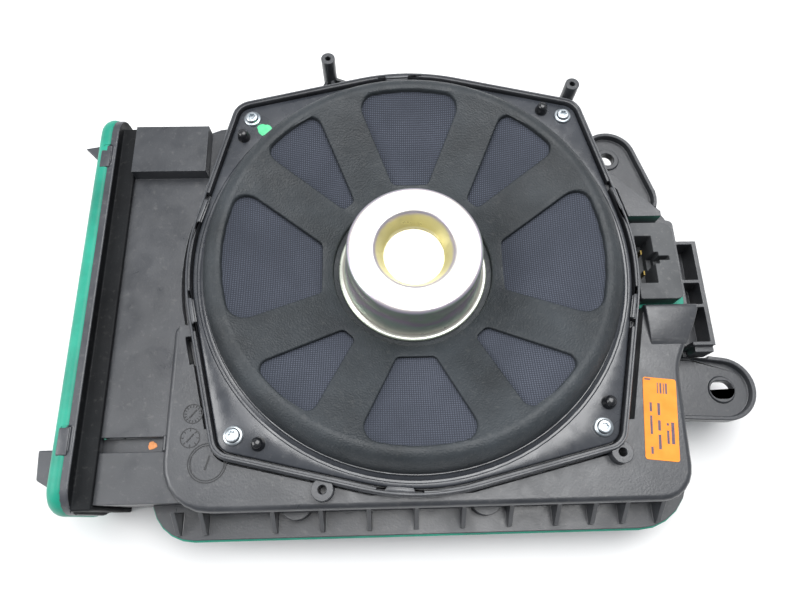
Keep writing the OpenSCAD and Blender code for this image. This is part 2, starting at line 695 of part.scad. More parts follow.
module contact(s) color("#c9a44a") box([contact_x - 0.4, s * contact_y - 1.2, plug_low - tail_l],
    [contact_x + 0.4, s * contact_y + 1.2, block_top - 5]);
module contact_positive() contact(1);
module contact_negative() contact(-1);

module terminal_strip() color("#5a4a30") {
    box([dish_r - 4, -13, strip_z - 7], [flange_r, 13, strip_z]);
    for (s = [-1, 1]) box([dish_r - 3.4, s * lead_y - 1.5, lead_end_z - 1],
        [flange_r - 2, s * lead_y + 1.5, strip_z - 7 + eps]);
}

// The two wires inside the enclosure, from the contacts to the strip
module wire(s) tube([[contact_x, s * contact_y, plug_low - tail_l - 0.1],
    [contact_x, s * contact_y, plug_low - tail_l - wire_drop],
    [flange_r - 3.5, s * lead_y, plug_low - tail_l - wire_drop],
    [flange_r - 3.5, s * lead_y, lead_end_z - 1.1]], wire_r);
module wire_positive() color("#b03028") wire(1);
module wire_negative() color("#28292c") wire(-1);

// The two braided leads that sag from the strip to the cone
module tinsel(s) color("#b9825a")
    translate([lead_in_r + lead_span / 2, s * lead_y, lead_end_z - lead_sag + lead_bend])
        rotate([90, 0, 0]) rotate([0, 0, -90 - lead_turn / 2])
            rotate_extrude(angle = lead_turn, $fn = 96) translate([lead_bend, 0]) circle(lead_r, $fn = 16);
module tinsel_positive() tinsel(1);
module tinsel_negative() tinsel(-1);

module label() color("#f59a35") slab(face_z, face_z + 0.3)
    translate([right_x - 11.8, -84.2]) rotate(-6.8) square([16.7, 40.5], center = true);

module paint_dot() color("#62cf94") rotate(135) rod(screw_pcr - 9.5, 0, flange_h, flange_h + 0.3, 3.8);

module inspection_mark() color("#d98a4a")
    rod(left_x - 8, strip_y + 3.5, duct_top - 5, duct_top - 4.6, 2);

lower_shell();
upper_shell_with_pegs();  // upper_shell
seam_seal();
port_frame();
port_seal();
basket();
window_cloth();
driver_gasket();
surround();
cone();
dust_cap();
coil_former();
voice_coil();
spider();
magnet_pot();
magnet();
pole_plate();
driver_screws();
connector_block();
connector_seal();
contact_positive();
contact_negative();
terminal_strip();
wire_positive();
wire_negative();
tinsel_positive();
tinsel_negative();
shell_screws();
label();
paint_dot();
inspection_mark();
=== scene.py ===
import math
import bpy
import bmesh
from mathutils import Matrix, Vector


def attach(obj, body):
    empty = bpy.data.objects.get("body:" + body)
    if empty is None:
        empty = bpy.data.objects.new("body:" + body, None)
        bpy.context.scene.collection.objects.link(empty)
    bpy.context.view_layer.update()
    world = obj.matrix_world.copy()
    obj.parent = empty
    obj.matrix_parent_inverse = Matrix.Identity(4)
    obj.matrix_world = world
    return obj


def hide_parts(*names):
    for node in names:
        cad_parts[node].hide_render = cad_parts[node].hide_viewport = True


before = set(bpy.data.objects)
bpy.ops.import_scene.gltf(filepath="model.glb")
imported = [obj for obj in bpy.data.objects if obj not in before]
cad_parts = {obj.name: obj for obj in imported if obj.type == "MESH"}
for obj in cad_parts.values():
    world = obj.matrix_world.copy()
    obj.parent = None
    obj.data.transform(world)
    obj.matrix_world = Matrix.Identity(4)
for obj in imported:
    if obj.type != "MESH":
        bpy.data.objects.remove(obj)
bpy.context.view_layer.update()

# ---------------------------------------------------------------------------------------------
# The camera stands over the front edge and looks down on the driver's outside, held a few
# degrees out of level to the left, as by someone who leans over the bench.
# ---------------------------------------------------------------------------------------------
lens = bpy.data.cameras.new("camera")
lens.lens = 28.09
lens.sensor_width = 36
lens.clip_start = 0.01
camera = bpy.data.objects.new("camera", lens)
heading, lean, roll = math.radians(-4.69), math.radians(19.48), math.radians(3.39)
camera.matrix_world = (
    Matrix.Translation((-0.01644, -0.12792, 0.35916))
    @ Matrix.Rotation(heading, 4, "Z")
    @ Matrix.Rotation(lean, 4, "X")
    @ Matrix.Rotation(roll, 4, "Z")
)
bpy.context.scene.collection.objects.link(camera)
bpy.context.scene.camera = camera

# ---------------------------------------------------------------------------------------------
# The bench and the studio: a plain pale sheet of matt paper, one broad soft light overhead,
# a weaker one from the left, and a pale room that the glossy mouldings mirror.
# ---------------------------------------------------------------------------------------------


def linear(code):
    """The linear colour of an sRGB hex value."""
    channels = [int(code[i : i + 2], 16) / 255 for i in (1, 3, 5)]
    return [c / 12.92 if c <= 0.04045 else ((c + 0.055) / 1.055) ** 2.4 for c in channels] + [1]


def add(tree, kind, settings=None, links=None):
    """A new node with its settings, by socket or by property, and the links into it."""
    made = tree.nodes.new(kind)
    for key, value in (settings or {}).items():
        if isinstance(key, int) or key in made.inputs:
            made.inputs[key].default_value = value
        else:
            setattr(made, key, value)
    for key, source in (links or {}).items():
        tree.links.new(source, made.inputs[key])
    return made


def blank(name):
    """A material with an empty tree, and the object coordinates that its patterns read."""
    material = bpy.data.materials.new(name)
    material.use_nodes = True
    tree = material.node_tree
    tree.nodes.clear()
    place = add(tree, "ShaderNodeTexCoord").outputs["Object"]
    return material, tree, place


def surface(tree, shader):
    """Puts a finished shader on the material's surface."""
    add(tree, "ShaderNodeOutputMaterial", links={"Surface": shader.outputs["BSDF"]})


def ramp(tree, source, stops):
    """A colour ramp through a list of (position, sRGB hex value)."""
    made = add(tree, "ShaderNodeValToRGB", links={"Fac": source})
    for i, (position, code) in enumerate(stops):
        stop = made.color_ramp.elements[i] if i < 2 else made.color_ramp.elements.new(position)
        stop.position = position
        stop.color = linear(code)
    return made.outputs["Color"]


# Matt sheet paper: off-white, with the faint cloudiness of its pulp
paper, tree, place = blank("sheet_paper_matt_white")
pulp = add(tree, "ShaderNodeTexNoise", {"Scale": 9, "Detail": 3}, {"Vector": place})
shader = add(tree, "ShaderNodeBsdfPrincipled", {"Roughness": 0.85, "Specular IOR Level": 0.25},
    {"Base Color": ramp(tree, pulp.outputs["Fac"], [(0.3, "#f1f1f1"), (0.7, "#f7f7f6")])})
surface(tree, shader)
bench = bmesh.new()
bmesh.ops.create_grid(bench, x_segments=8, y_segments=8, size=2.4)
mesh = bpy.data.meshes.new("bench")
bench.to_mesh(mesh)
floor = bpy.data.objects.new("bench", mesh)
floor.location = (0, 0, -0.0003)
mesh.materials.append(paper)
bpy.context.scene.collection.objects.link(floor)

# The room darkens toward the viewer, so glossy plastic that faces the back shows bright edges
world = bpy.data.worlds.new("studio")
world.use_nodes = True
backdrop = next(n for n in world.node_tree.nodes if n.type == "BACKGROUND")
backdrop.inputs["Strength"].default_value = 0.7
sky = add(world.node_tree, "ShaderNodeTexCoord")
height = add(world.node_tree, "ShaderNodeSeparateXYZ", links={"Vector": sky.outputs["Generated"]})
depth = add(world.node_tree, "ShaderNodeMapRange", {"From Min": -0.75, "From Max": 0.35},
    {"Value": height.outputs["Y"]})
world.node_tree.links.new(ramp(world.node_tree, depth.outputs["Result"],
    [(0.0, "#8d9095"), (1.0, "#f0f3f8")]), backdrop.inputs["Color"])
bpy.context.scene.world = world
bpy.context.scene.view_settings.view_transform = "Standard"

# Each light: its place, the spot it points at, the width of its square, and its watts
for name, spot, aim, size, power in [
    ("softbox", (0.14, 0.2, 1.0), (0.03, -0.03, 0.05), 0.85, 12),
    ("side_softbox", (-0.95, -0.15, 0.75), (0, 0, 0.05), 0.7, 7),
]:
    lamp = bpy.data.lights.new(name, "AREA")
    lamp.size = size
    lamp.energy = power
    light = bpy.data.objects.new(name, lamp)
    light.location = spot
    light.rotation_euler = (Vector(spot) - Vector(aim)).to_track_quat("Z", "Y").to_euler()
    bpy.context.scene.collection.objects.link(light)

# ---------------------------------------------------------------------------------------------
# Upper shell: the injection-moulded face of the enclosure in charcoal glass-filled plastic,
# with the collar, moat, duct roof, ledge ribs, posts and bosses in one piece. The mould's
# spark-eroded skin is fine and matt, and every corner has a small radius.
# ---------------------------------------------------------------------------------------------
MM = 0.001  # shapes are built in millimetres and scaled to metres when each is finished
FLANGE_Z = 58  # the face of the driver's flange above the base
FACE_Z = 53  # the face of the enclosure above the base


def moulded_plastic(name, deep, pale, rough, grain, relief, dust, gloss=0.5):
    """Injection-moulded plastic: grain millimetres wide, broad tone changes, rubbed dust."""
    material, tree, place = blank(name)
    skin = add(tree, "ShaderNodeTexNoise", {"Scale": 1000 / grain, "Detail": 2}, {"Vector": place})
    clouds = add(tree, "ShaderNodeTexNoise", {"Scale": 26, "Detail": 5, "Roughness": 0.6},
        {"Vector": place})
    tone = ramp(tree, clouds.outputs["Fac"], [(0.32, deep), (0.68, pale)])
    specks = add(tree, "ShaderNodeTexNoise", {"Scale": 330, "Detail": 6, "Roughness": 0.7},
        {"Vector": place})
    dusting = add(tree, "ShaderNodeMapRange",
        {"From Min": 0.56, "From Max": 0.75, "To Min": 0, "To Max": dust},
        {"Value": specks.outputs["Fac"]})
    dusted = add(tree, "ShaderNodeMix", {"data_type": "RGBA", 7: linear("#8b8a86")},
        {0: dusting.outputs["Result"], 6: tone})
    smears = add(tree, "ShaderNodeTexNoise", {"Scale": 55, "Detail": 4, "Distortion": 1.2},
        {"Vector": place})
    polish = add(tree, "ShaderNodeMapRange",
        {"From Min": 0.3, "From Max": 0.7, "To Min": rough - 0.09, "To Max": rough + 0.1},
        {"Value": smears.outputs["Fac"]})
    bump = add(tree, "ShaderNodeBump",
        {"Strength": min(relief, 1), "Distance": 0.0002 * max(relief, 1)},
        {"Height": skin.outputs["Fac"]})
    shader = add(tree, "ShaderNodeBsdfPrincipled", {"IOR": 1.53, "Specular IOR Level": gloss},
        {"Base Color": dusted.outputs[2], "Roughness": polish.outputs["Result"],
            "Normal": bump.outputs["Normal"]})
    surface(tree, shader)
    return material


def face_outwards(shape):
    """Turns the faces of each closed body in a shape outwards, by the sign of its volume."""
    shape.normal_update()
    bmesh.ops.recalc_face_normals(shape, faces=shape.faces)
    left = set(shape.faces)
    while left:
        body, edge = [left.pop()], 0
        while edge < len(body):
            near = {f for e in body[edge].edges for f in e.link_faces} & left
            left -= near
            body += near
            edge += 1
        if sum(f.calc_center_median().dot(f.normal) * f.calc_area() for f in body) < 0:
            bmesh.ops.reverse_faces(shape, faces=body)


def piece(name, shape, material, part_slot, *nodes, body="enclosure", angle=35, keep_sides=False):
    """Makes the object of a finished shape in millimetres, with its material; its slot is not used.

    It rides on its body and stands for the nodes that are named. Edges that turn by more than
    the angle are drawn sharp. A copy of a node keeps the sides of its faces as they are.
    """
    if not keep_sides:
        face_outwards(shape)
    bmesh.ops.scale(shape, vec=(MM, MM, MM), verts=shape.verts)
    mesh = bpy.data.meshes.new(name)
    shape.to_mesh(mesh)
    shape.free()
    mesh.shade_smooth()
    mesh.set_sharp_from_angle(angle=math.radians(angle))
    mesh.materials.append(material)
    made = bpy.data.objects.new(name, mesh)
    bpy.context.scene.collection.objects.link(made)
    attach(made, body)
    if nodes:
        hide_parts(*nodes)
    return made


FACE_CUTS = (-97.3, -49.1, 0.3, 50.7, 96.9)  # where wide flat faces that bend round are split


def copy_of(node):
    """A copy of a node's surface in millimetres, welded, with its flat faces whole."""
    shape = bmesh.new()
    shape.from_mesh(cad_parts[node].data)
    bmesh.ops.scale(shape, vec=(1000, 1000, 1000), verts=shape.verts)
    bmesh.ops.remove_doubles(shape, verts=shape.verts, dist=0.002)
    bmesh.ops.dissolve_degenerate(shape, edges=shape.edges, dist=0.01)
    bmesh.ops.dissolve_limit(shape, angle_limit=math.radians(0.6), use_dissolve_boundaries=False,
        verts=shape.verts, edges=shape.edges, delimit=set())
    for across, normal in ((0, (1, 0, 0)), (1, (0, 1, 0))):
        for cut in FACE_CUTS:
            spot = [0, 0, 0]
            spot[across] = cut
            bmesh.ops.bisect_plane(shape, geom=shape.verts[:] + shape.edges[:] + shape.faces[:],
                dist=0.002, plane_co=spot, plane_no=normal)
    return shape


def round_edges(shape, edges, radius, steps):
    """Rounds chosen edges to a radius in millimetres."""
    bmesh.ops.bevel(shape, geom=edges, offset=radius, offset_type="OFFSET", segments=steps,
        profile=0.5, affect="EDGES", clamp_overlap=False, material=-1)


def sharp(edge, degrees):
    """Whether the two faces at an edge turn by more than some degrees."""
    return len(edge.link_faces) == 2 and edge.calc_face_angle(0) > math.radians(degrees)


def soften(made, radius, steps=2):
    """The small mould radius on every real edge of a piece."""
    rounding = made.modifiers.new("mould_radius", "BEVEL")
    rounding.width = radius * MM
    rounding.segments = steps
    rounding.limit_method = "ANGLE"
    rounding.angle_limit = math.radians(32)
    rounding.use_clamp_overlap = False
    rounding.miter_outer = "MITER_ARC"
    flat = made.modifiers.new("flat_faces", "WEIGHTED_NORMAL")
    flat.keep_sharp = True


# Glass-filled polypropylene off a spark-eroded tool: dusty charcoal with a soft sheen, so the
# broad face reads grey and its edges catch thin light lines
shell_plastic = moulded_plastic("pp_gf_moulded_spark_eroded_charcoal", "#2d2f33", "#3b3d41", 0.36,
    1.1, 0.3, 0.2, gloss=0.75)
upper = copy_of("upper_shell")


def outer_wall_top(edge):
    """An edge where the front of the face turns down into the outside wall."""
    if not sharp(edge, 60) or not edge.is_convex:
        return False
    mid = (edge.verts[0].co + edge.verts[1].co) / 2
    walls = [f.normal for f in edge.link_faces if abs(f.normal.z) < 0.5]
    past_collar = mid.y < -25 and mid.xy.length > 121.5
    return (all(abs(v.co.z - FACE_Z) < 0.05 for v in edge.verts) and past_collar
        and all(n.dot(mid) > 0 for n in walls))


FACE_RADIUS = 3.2
round_edges(upper, [e for e in upper.edges if outer_wall_top(e)], FACE_RADIUS, 5)
upper_shell = piece("upper_shell_moulding", upper, shell_plastic, "shell_plastic", "upper_shell",
    keep_sides=True)
soften(upper_shell, 0.3)

# ---------------------------------------------------------------------------------------------
# Collar trim: the stepped shoulder outside the collar, its top line and the six sprung
# tabs that hold the driver's flange, in a copy of the shell plastic painted paler as a
# highlight, so that the top line shows bright. They are moulded with the upper shell, and so
# is the strip at the front left that closes the moat between the collar and the face.
# ---------------------------------------------------------------------------------------------
SCREW_CIRCLE = 124.95  # radius of the circle through the driver's four screws
FLANGE_RADIUS = 114.5  # of the flange's round sides
CORNER_RADIUS = 8  # of the flange's corners, each about a screw
CORNERS = (45, 135, 225, 315)  # where the screws are, in degrees
CORNER_TURN = math.degrees(math.acos((FLANGE_RADIUS - CORNER_RADIUS) / SCREW_CIRCLE))


def polar(radius, degrees):
    """The point of the plan at a radius and an angle."""
    return Vector((radius * math.cos(math.radians(degrees)),
        radius * math.sin(math.radians(degrees))))


def flange_outline(grow, level, steps=10):
    """The flange's outline grown by some millimetres: a circle joined to four round corners."""
    def around(radius, start, end):
        return [polar(radius, start + (end - start) * k / steps) for k in range(steps + 1)]

    runs = []
    for corner in CORNERS:
        start, end = corner - CORNER_TURN, corner + CORNER_TURN
        screw = polar(SCREW_CIRCLE, corner)
        runs += [[screw + spot for spot in around(CORNER_RADIUS + grow, start, end)],
            around(FLANGE_RADIUS + grow, end, start + 90)]
    loop = []
    flats = 8  # pieces that each straight line between two rounds is split into
    for run, ahead in zip(runs, runs[1:] + runs[:1]):
        loop += run + [run[-1].lerp(ahead[0], k / flats) for k in range(1, flats)]
    return [(spot.x, spot.y, level) for spot in loop]


def loft(shape, loops, closed=False, first=False, last=False):
    """Extrudes a first loop of points through the others, then joins or fills its ends."""
    begun = verts = [shape.verts.new(p) for p in loops[0]]
    edges = [shape.edges.new(pair) for pair in zip(verts, verts[1:] + verts[:1])]
    if first:
        bmesh.ops.edgeloop_fill(shape, edges=edges)
    for loop in loops[1:] + (loops[:1] if closed else []):
        made = bmesh.ops.extrude_edge_only(shape, edges=edges)["geom"]
        fresh = {g for g in made if isinstance(g, bmesh.types.BMVert)}
        edges = [g for g in made if isinstance(g, bmesh.types.BMEdge) and fresh.issuperset(g.verts)]
        verts = [next(e.other_vert(v) for e in v.link_edges if e.other_vert(v) in fresh)
            for v in verts]
        for v, spot in zip(verts, loop):
            v.co = spot
    if last:
        bmesh.ops.edgeloop_fill(shape, edges=edges)
    if closed:
        bmesh.ops.weld_verts(shape, targetmap=dict(zip(verts, begun)))


def block(shape, low, high, turn=0, centre=(0, 0, 0), radius=0.0, steps=2):
    """A box between two corners, with rounded edges, then turned about an upright axis."""
    earlier = set(shape.verts)
    size = Vector(high) - Vector(low)
    spot = (Vector(high) + Vector(low)) / 2
    made = bmesh.ops.create_cube(shape, size=1, matrix=Matrix.Translation(spot)
        @ Matrix.Diagonal((*size, 1)))["verts"]
    if radius:
        edges = list({e for v in made for e in v.link_edges})
        bmesh.ops.bevel(shape, geom=edges, offset=radius, offset_type="OFFSET", segments=steps,
            profile=0.5, affect="EDGES", clamp_overlap=True, material=-1)
    made = [v for v in shape.verts if v not in earlier]
    bmesh.ops.rotate(shape, cent=centre, matrix=Matrix.Rotation(math.radians(turn), 3, "Z"),
        verts=made)


# The same plastic where the tool is polished: a little shinier, and painted paler as a highlight, a
# thin grey line of light
collar_plastic_painted_highlight = moulded_plastic("pp_gf_moulded_polished_charcoal_painted_highlight", "#3a3c40", "#494b4f", 0.3,
    1.0, 0.12, 0.25, gloss=0.6)
trim = bmesh.new()
# The shoulder and the top line, by how far they stand out from the flange and how high
loft(trim, [flange_outline(g, z) for g, z in [(2.9, 46), (3.9, 46), (3.9, 57.3), (3.7, 57.7),
    (3.5, 57.8), (2.9, 57.8)]], closed=True)
loft(trim, [flange_outline(g, z) for g, z in [(1.9, 59.5), (3.1, 59.5), (3.1, 60.2), (2.8, 60.5),
    (2.2, 60.5), (1.9, 60.2)]], closed=True)
TAB_ANGLES = (17, 93, 165, 193, 265, 346)
for angle in TAB_ANGLES:
    out = 117.9 + (1.6 if angle == 17 else 0)  # one tab stands further out, by the connector
    block(trim, (out - 3.3, -6.6, 56), (out - 1.7, 6.6, 60.4), angle, radius=0.3)
    block(trim, (out - 3.9, -6.2, 58.2), (out - 2.6, 6.2, 59.2), angle, radius=0.3)
piece("collar_trim", trim, collar_plastic_painted_highlight, "shell_plastic")
MOAT_Z = 44.5
infill = bmesh.new()
inner, outer = flange_outline(6.0, FACE_Z), flange_outline(8.6, FACE_Z)
side = [k for k, (x, y, z) in enumerate(inner) if x < -60 and -100 < y < -47]
loft(infill, [[(*inner[k][:2], MOAT_Z), (*outer[k][:2], MOAT_Z), (*outer[k][:2], FACE_Z + 0.02),
    (*inner[k][:2], FACE_Z + 0.02)] for k in side], first=True, last=True)
piece("moat_infill", infill, shell_plastic, "shell_plastic")

# ---------------------------------------------------------------------------------------------
# Marks of the mould: a plain double ring and two date dials at the front left, thin raised
# lines of the shell's own plastic, painted near black as the shade of engraved lines. A short bar
# stands in the ring.
# ---------------------------------------------------------------------------------------------
MARK_FOOT, MARK_TOP = FACE_Z - 0.2, FACE_Z + 0.28
RING_SPOT = (-101.1, -100.1)
DIALS = [((-110.1, -88.2), 8), ((-109.6, -76.7), 16)]  # each with its number of ticks
marks = bmesh.new()


def ring_line(shape, centre, radius, width, low, high, steps=48):
    """A thin raised ring on the face."""
    loops = []
    for r, z in [(radius - width / 2, low), (radius + width / 2, low),
            (radius + width / 2, high), (radius - width / 2, high)]:
        loops.append([(*(Vector(centre) + polar(r, 360 * k / steps)), z) for k in range(steps)])
    loft(shape, loops, closed=True)


def bar(shape, centre, low, high, top, turn):
    """A thin raised bar: two corners from a centre, turned about that centre."""
    x, y = centre
    block(shape, (x + low[0], y + low[1], MARK_FOOT), (x + high[0], y + high[1], top), turn,
        (x, y, 0))


for radius in (8.1, 9.1):
    ring_line(marks, RING_SPOT, radius, 0.45, MARK_FOOT, MARK_TOP)
bar(marks, RING_SPOT, (-3.4, -0.4), (3.4, 0.4), MARK_TOP, 74)
for spot, ticks in DIALS:
    ring_line(marks, spot, 4.6, 0.4, MARK_FOOT, FACE_Z + 0.25, 32)
    bar(marks, spot, (-0.3, -2.6), (0.3, 2.6), FACE_Z + 0.3, -40)
    for k in range(ticks):
        bar(marks, spot, (3.1, -0.2), (4.2, 0.2), FACE_Z + 0.25, 360 * k / ticks)
# Painted shade in the fine lines: near black, so that they show on the grey face
mark_plastic_painted_shade = moulded_plastic("pp_gf_moulded_marks_painted_shade", "#161719", "#212326", 0.4, 1.0, 0.1,
    0.1)
piece("mould_marks", marks, mark_plastic_painted_shade, "shell_plastic")

# ---------------------------------------------------------------------------------------------
# Ramp beside the connector: the face rises from the front right corner to the connector bay
# in one smooth crease, moulded with the upper shell.
# ---------------------------------------------------------------------------------------------
RAMP_FOOT = FACE_Z - 0.4
ramp_block = bmesh.new()
# Sections along y: the left side, the right side at the foot and at the top, and the height
loft(ramp_block, [[(left, y, RAMP_FOOT), (foot, y, RAMP_FOOT), (head, y, top), (left, y, top)]
    for y, left, foot, head, top in [
        (-46.5, 120.6, 138.3, 138.3, 53.0),
        (-43.5, 120.2, 140.0, 139.9, 54.4),
        (-36, 119.6, 143.6, 143.4, 55.9),
        (-29, 119.0, 146.4, 146.0, 56.7),
        (-26.6, 119.0, 146.9, 146.2, 56.4),
        (-25.7, 119.0, 147.2, 146.6, 55.2),
    ]], first=True, last=True)
rim = [e for e in ramp_block.edges if e.is_convex and sharp(e, 40)
    and all(v.co.z > FACE_Z + 0.5 for v in e.verts)]
round_edges(ramp_block, rim, 0.7, 3)
piece("bay_ramp", ramp_block, shell_plastic, "shell_plastic", angle=50)

# ---------------------------------------------------------------------------------------------
# Lower shell: the moulded tray under the seam, with the two fixing ears, in the same plastic.
# ---------------------------------------------------------------------------------------------
tray = copy_of("lower_shell")
lower_shell = piece("lower_shell_moulding", tray, shell_plastic, "shell_plastic", "lower_shell",
    keep_sides=True)
soften(lower_shell, 0.45)

# ---------------------------------------------------------------------------------------------
# Seam seal: a flat strip of soft green thermoplastic rubber squeezed between the shells, which
# bulges a little past the ledge. Matt, slightly waxy, darker where it is dirty.
# ---------------------------------------------------------------------------------------------


def moulded_rubber(name, deep, pale, rough):
    """Soft moulded rubber: a waxy matt skin with handling marks and a faint pull grain."""
    material, tree, place = blank(name)
    handling = add(tree, "ShaderNodeTexNoise", {"Scale": 34, "Detail": 5, "Roughness": 0.62},
        {"Vector": place})
    tone = ramp(tree, handling.outputs["Fac"], [(0.3, deep), (0.62, pale)])
    skin = add(tree, "ShaderNodeTexNoise", {"Scale": 700, "Detail": 2}, {"Vector": place})
    bump = add(tree, "ShaderNodeBump", {"Strength": 0.25, "Distance": 0.0002},
        {"Height": skin.outputs["Fac"]})
    wax = add(tree, "ShaderNodeMapRange", {"To Min": rough - 0.08, "To Max": rough + 0.12},
        {"Value": handling.outputs["Fac"]})
    shader = add(tree, "ShaderNodeBsdfPrincipled",
        {"IOR": 1.5, "Specular IOR Level": 0.45, "Sheen Weight": 0.12, "Sheen Roughness": 0.5},
        {"Base Color": tone, "Roughness": wax.outputs["Result"],
            "Normal": bump.outputs["Normal"]})
    surface(tree, shader)
    return material


# Thermoplastic rubber in the maker's bluish green: matt and a little waxy, with dirty patches
green_rubber = moulded_rubber("tpe_moulded_green", "#047c67", "#179c82", 0.46)
strip = copy_of("seam_seal")
seam_seal = piece("seam_seal_strip", strip, green_rubber, "green_rubber", "seam_seal",
    keep_sides=True)
soften(seam_seal, 0.35, 3)

# ---------------------------------------------------------------------------------------------
# Duct frame: the moulded mouth that slides over the duct's end, with guide fins, two latch
# blocks on the lip and the tongue that a groove of the duct holds. The lip is semi-gloss, and
# the sleeve behind it is matt and painted near black as shade.
# ---------------------------------------------------------------------------------------------
# Plain polypropylene: semi-gloss charcoal with pale rub marks, which outline the lip
frame_plastic = moulded_plastic("pp_moulded_semigloss_charcoal", "#34363b", "#44464b", 0.38,
    0.9, 0.2, 0.3, gloss=0.6)
LATCHES = [(-95.5, -82.5), (59.0, 69.5)]  # from and to, along the mouth
LIP_BACK = -163  # where the lip ends and the sleeve begins
mouth = copy_of("port_frame")
# Faces behind the lip take the second material, painted darker as shade
for face in mouth.faces:
    face.material_index = int(face.calc_center_median().x > LIP_BACK)
port_frame = piece("port_frame_moulding", mouth, frame_plastic, "frame_plastic", "port_frame",
    keep_sides=True)
# The same part behind the lip in a darker copy: matt, and painted near black as shade, a dark band
# behind the lip
port_frame.data.materials.append(moulded_plastic("pp_moulded_matt_sleeve_painted_shade", "#141517",
    "#1d1f21", 0.6, 0.9, 0.2, 0.1, gloss=0.15))
soften(port_frame, 0.8, 3)
grips = bmesh.new()
block(grips, (-158.6, -93.6, 43.9), (-154.6, -86.4, 49.1), radius=0.3)
for low, high in LATCHES:
    block(grips, (-170.6, low, 50), (-165.4, high, 57.9), radius=0.6, steps=3)
piece("frame_latches", grips, frame_plastic, "frame_plastic")

# ---------------------------------------------------------------------------------------------
# Mouth bead: the thick round-nosed green rubber lip that seals the duct to the car body,
# pushed over the frame's edge and held in its groove.
# ---------------------------------------------------------------------------------------------


def mouth_outline(inset, x):
    """The mouth's rounded rectangle, moved in by some millimetres, across the duct."""
    low_y, high_y, low_z, high_z, radius = -121.8, 95.0, 0.6, 57.0, 13.0
    steps = 10
    loop = []
    for cy, cz, start in [(high_y, high_z, 0), (low_y, high_z, 90), (low_y, low_z, 180),
            (high_y, low_z, 270)]:
        sy, sz = (1 if cy == high_y else -1), (1 if cz == high_z else -1)
        for k in range(steps + 1):
            turn = math.radians(start + 90 * k / steps)
            loop.append((x, cy - sy * radius + (radius - inset) * math.cos(turn),
                cz - sz * radius + (radius - inset) * math.sin(turn)))
    return loop


bead = bmesh.new()
# The lip's section, by how far it lies in from the outline and where along the duct
loft(bead, [mouth_outline(i, x) for i, x in [(1.0, -166.0), (0.1, -166.4), (-0.4, -167.2),
    (-0.6, -168.3), (-0.5, -169.6), (-0.1, -170.9), (0.6, -172.1), (1.6, -173.2), (2.9, -173.9),
    (4.2, -174.1), (5.3, -173.6), (6.1, -172.6), (6.5, -171.2), (6.6, -169.7), (1.2, -169.7)]],
    closed=True)
piece("port_seal_bead", bead, green_rubber, "green_rubber", "port_seal", angle=60)

# ---------------------------------------------------------------------------------------------
# Basket: the injection-moulded dish that carries the motor on its outside, with eight windows
# between its spokes. The shoulder and the spokes have the tool's coarse grain; the flange that
# is screwed down is a smooth ring, with a small step round the dish, and mirrors the room.
# ---------------------------------------------------------------------------------------------
SPOKE_WIDTH = 23.5
WINDOW_IN, WINDOW_OUT = 50.5, 96.6  # radii of the windows' ends
HUB_RADIUS = 43  # where the dish's slope starts
SLOPE = 26 / 54
ARMS = [-29.5, 29.5, 65.3, 114.7, 150.5, 209.5, 245.3, 294.7, 330.5]  # spokes' middles, degrees


def rounded(points, radii, steps=6):
    """A closed outline in the plane with each corner rounded by its own radius."""
    made = []
    for i, spot in enumerate(points):
        here, back = Vector(spot), Vector(points[i - 1])
        ahead = Vector(points[(i + 1) % len(points)])
        one, two = (back - here).normalized(), (ahead - here).normalized()
        half = one.angle(two) / 2
        if radii[i] < 0.05 or half > math.radians(89):
            made.append(here)
            continue
        reach = radii[i] / math.tan(half)
        centre = here + (one + two).normalized() * radii[i] / math.sin(half)
        start, end = here + one * reach - centre, here + two * reach - centre
        sweep = start.angle_signed(end)
        made += [centre + Matrix.Rotation(-sweep * k / steps, 2) @ start for k in range(steps + 1)]
    return made


def lathe(shape, profile, steps):
    """Spins a closed line of (radius, height over the flange) points round the driver's axis."""
    verts = [shape.verts.new((r, 0, FLANGE_Z + z)) for r, z in profile]
    edges = [shape.edges.new(pair) for pair in zip(verts, verts[1:] + verts[:1])]
    bmesh.ops.spin(shape, geom=verts + edges, cent=(0, 0, 0), axis=(0, 0, 1), angle=math.tau,
        steps=steps, use_merge=True)
    bmesh.ops.remove_doubles(shape, verts=shape.verts, dist=0.001)
    bmesh.ops.delete(shape, geom=[e for e in shape.edges if not e.link_faces], context="EDGES")


def window_outline(start, end, level):
    """A window between two straight spokes: flat inner edge, curved outer edge."""
    outer = math.degrees(math.asin(SPOKE_WIDTH / 2 / WINDOW_OUT))
    inner = math.degrees(math.asin(SPOKE_WIDTH / 2 / WINDOW_IN))
    plan = [(end - inner, WINDOW_IN), (start + inner, WINDOW_IN)]
    plan += [(start + outer + (end - start - 2 * outer) * k / 7, WINDOW_OUT) for k in range(8)]
    corners = [polar(r, a) for a, r in plan]
    big = 8 if end - start > 40 else 5.5
    radii = [3, 3, big] + [0] * 6 + [big]
    return [(p.x, p.y, level) for p in rounded(corners, radii)]


# The wall's section by radius and height over the flange: inward down the outer slope, round
# the ring that holds the motor, back up the inner side and under the shoulder
dish = bmesh.new()
shoulder = [(99.2 + 9.1 * math.cos(math.radians(turn)), 0.5 + 15 * math.sin(math.radians(turn)))
    for turn in range(0, 91, 9)]  # a quarter of an ellipse from the flange up to the spokes
rim_line = rounded([(98.04, 15.5), (43, -11), (43, -14.5), (36.6, -14.5), (36.6, -22),
    (42.5, -22), (42.5, -16.9), (45.2, -12.7), (97.4, 12.4), (99.8, 12.6), (102.8, 10.2),
    (105.2, 5.2), (105.8, 0), (105.8, -3), (108.3, -3), (99.2, 15.5)],
    [5, 1.2, 0.4, 0.3, 0, 0.3, 1, 2, 1, 1, 3, 3, 2, 0.3, 0.2, 0], 5)
lathe(dish, [(p.x, p.y) for p in rim_line[:-1]] + shoulder, 240)
face_outwards(dish)
stock = bpy.data.meshes.new("dish_stock")
dish.to_mesh(stock)
dish.free()
punches = bmesh.new()
